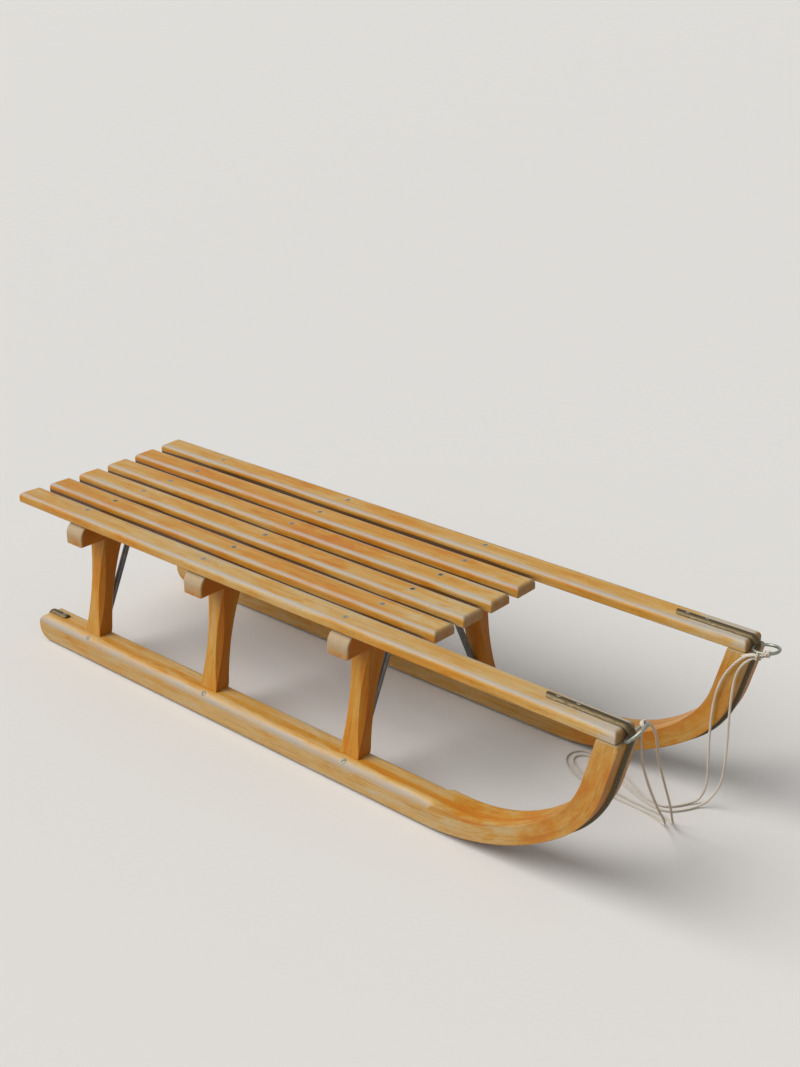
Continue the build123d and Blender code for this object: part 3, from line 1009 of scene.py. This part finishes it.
def dress_cord():
    """The two strands of the tow cord, and its knots on the rings."""
    material = cord_material()
    strands = {}
    for name, route in (("rope_outer", outer_route), ("rope_inner", inner_route)):
        line = smooth_line(name, [at(*point) for point in route])
        strands[name] = laid_cord(f"{name}_laid", line, material)
        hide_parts(name)
    lines = [strand[1] for strand in strands.values()]
    for side, index in (("right", 0), ("left", -1)):
        knot(side, [line[index] for line in lines], material)
    loose_end = ((-0.004, -0.001, -0.0015), (-0.009, -0.002, -0.0035), (-0.015, -0.003, -0.0070))
    half_hitch("knot_left_tuck", lines, hitch_back, loose_end, material)


def add_screw(mesh, centre, normal, radius, rise, tarnish, slot_turn):
    """Adds a slotted, slightly domed screw head to a bmesh."""
    tarnish_and_shade = mesh.verts.layers.float["tarnish_and_shade"]
    normal = normal.normalized()
    side = Matrix.Rotation(slot_turn, 3, normal) @ normal.orthogonal().normalized()
    up = normal.cross(side)
    # Half width of the slot with the radius as 1, and its depth and the dome's drop
    # with the rise as 1
    slot_half, slot_depth, dome_drop = 0.18, 1.6, 0.8
    rows = [-1.0, -0.8, -0.55, -0.3, -slot_half * 1.01, -slot_half]
    rows += [-row for row in reversed(rows)]
    columns = 10
    grid = []
    for row in rows:
        width = sqrt(1 - row**2)
        slotted = abs(row) <= slot_half
        line = []
        for column in range(columns + 1):
            u = width * (2 * column / columns - 1)
            height = rise * (1 - dome_drop * (u * u + row * row))
            if slotted:
                height -= rise * slot_depth
            spot = centre + side * (u * radius) + up * (row * radius) + normal * height
            vertex = mesh.verts.new(spot)
            # The slot takes the darkest tone as painted shade in its recess; the rest of the head
            # its tarnish
            vertex[tarnish_and_shade] = 1.0 if slotted else tarnish
            line.append(vertex)
        grid.append(line)
    for low, high in zip(grid, grid[1:]):
        for column in range(columns):
            after = column + 1
            mesh.faces.new((low[column], low[after], high[after], high[column]))


def dress_screws():
    """Screws in the slats, runners, irons and stays."""
    shade = Shade("screw_zinc", Metallic=0.45, Roughness=0.48)
    tarnish_and_shade = shade.node("Attribute", attribute_name="tarnish_and_shade").outputs["Fac"]
    spots = shade.noise(shade.place(), (900.0, 900.0, 900.0), detail=3.0)
    tarnish_and_shade = shade.total(tarnish_and_shade, shade.span(spots, 0.35, 0.65, -0.12, 0.12))
    colour = shade.ramp(tarnish_and_shade, screw_tones)
    zinc = shade.finish(Base_Color=colour, Normal=shade.bump(spots, 0.00010, 0.4))
    upward, downward = Vector((0, 0, 1)), Vector((0, 0, -1))
    seat_iron_top = seat_height + slat_play + iron_play + iron_thickness
    iron_places = [(tail, seat_iron_top) for tail in horn_iron_screws]
    iron_places.append((heel_iron_screw, runner_top + iron_thickness))
    groups = {"slat_screws": [], "runner_screws": [], "iron_screws": [], "stay_screws": []}
    for place, tarnish in zip(slat_screws, slat_tarnish):
        groups["slat_screws"].append((*slat_screw(*place), *slat_head, tarnish))
    for sign in side_sign.values():
        for place in bolster_places.values():
            screw = (*runner_screw(place, sign), *runner_head, runner_tarnish)
            groups["runner_screws"].append(screw)
        for tail, z in iron_places:
            screw = (at(tail, sign * iron_y, z), upward, *iron_head, iron_tarnish)
            groups["iron_screws"].append(screw)
        for name in ("rear", "front"):
            lug = at(bolster_places[name], sign * stay_lug_y, stay_lug_z)
            groups["stay_screws"].append((lug, downward, *stay_head, stay_tarnish))
    for name, screws in groups.items():
        mesh = bmesh.new()
        mesh.verts.layers.float.new("tarnish_and_shade")
        for screw in screws:
            add_screw(mesh, *screw, random.uniform(0, pi))
        made(name, mesh, zinc, smooth=False)


# Light that the floor throws back, and how it looks itself
mat_tone = (0.40, 0.31, 0.22)
floor_tone = (0.72, 0.71, 0.69)

# Colour and strength of the room's light and of its backdrop
room_light = ((0.97, 0.985, 1.0, 1.0), 0.30)
room_backdrop = ((0.70, 0.69, 0.67, 1.0), 1.0)

# Lamps: name, direction that the light comes from, strength, width in degrees, colour
lamps = (
    ("key", (-0.50, -0.48, 0.72), 2.8, 50.0, (1.0, 0.980, 0.955)),
    ("fill", (-0.20, -0.95, 0.35), 0.55, 80.0, (1.0, 0.97, 0.94)),
)


def add_floor():
    """A floor that looks pale, but throws back only as much light as a woven mat."""
    shade = Shade("pale_floor", Roughness=0.9)
    shade.finish(Base_Color=shade.mix(shade.picture_ray(), mat_tone, floor_tone))
    mesh = bmesh.new()
    bmesh.ops.create_grid(mesh, x_segments=2, y_segments=2, size=40.0)
    data = bpy.data.meshes.new("floor")
    mesh.to_mesh(data)
    mesh.free()
    data.materials.append(shade.material)
    floor = bpy.data.objects.new("floor", data)
    bpy.context.scene.collection.objects.link(floor)


def add_room():
    """Faint light from all round, and a pale backdrop."""
    world = bpy.data.worlds.new("soft_room")
    bpy.context.scene.world = world
    world.use_nodes = True
    tree = Tree(world.node_tree)
    light = tree.node("Background", *room_light).outputs[0]
    backdrop = tree.node("Background", *room_backdrop).outputs[0]
    both = tree.node("MixShader", tree.picture_ray(), light, backdrop).outputs[0]
    tree.node("OutputWorld", both)


def add_lamps():
    """Soft light from the tail, the right and above."""
    for name, direction, strength, width, colour in lamps:
        light = bpy.data.lights.new(name, "SUN")
        light.energy = strength
        light.angle = radians(width)
        light.color = colour
        lamp = bpy.data.objects.new(name, light)
        lamp.rotation_euler = Vector(direction).to_track_quat("Z", "Y").to_euler()
        bpy.context.scene.collection.objects.link(lamp)


add_camera()
dress_cord()
dress_wood()
dress_metal()
dress_screws()
add_floor()
add_room()
add_lamps()
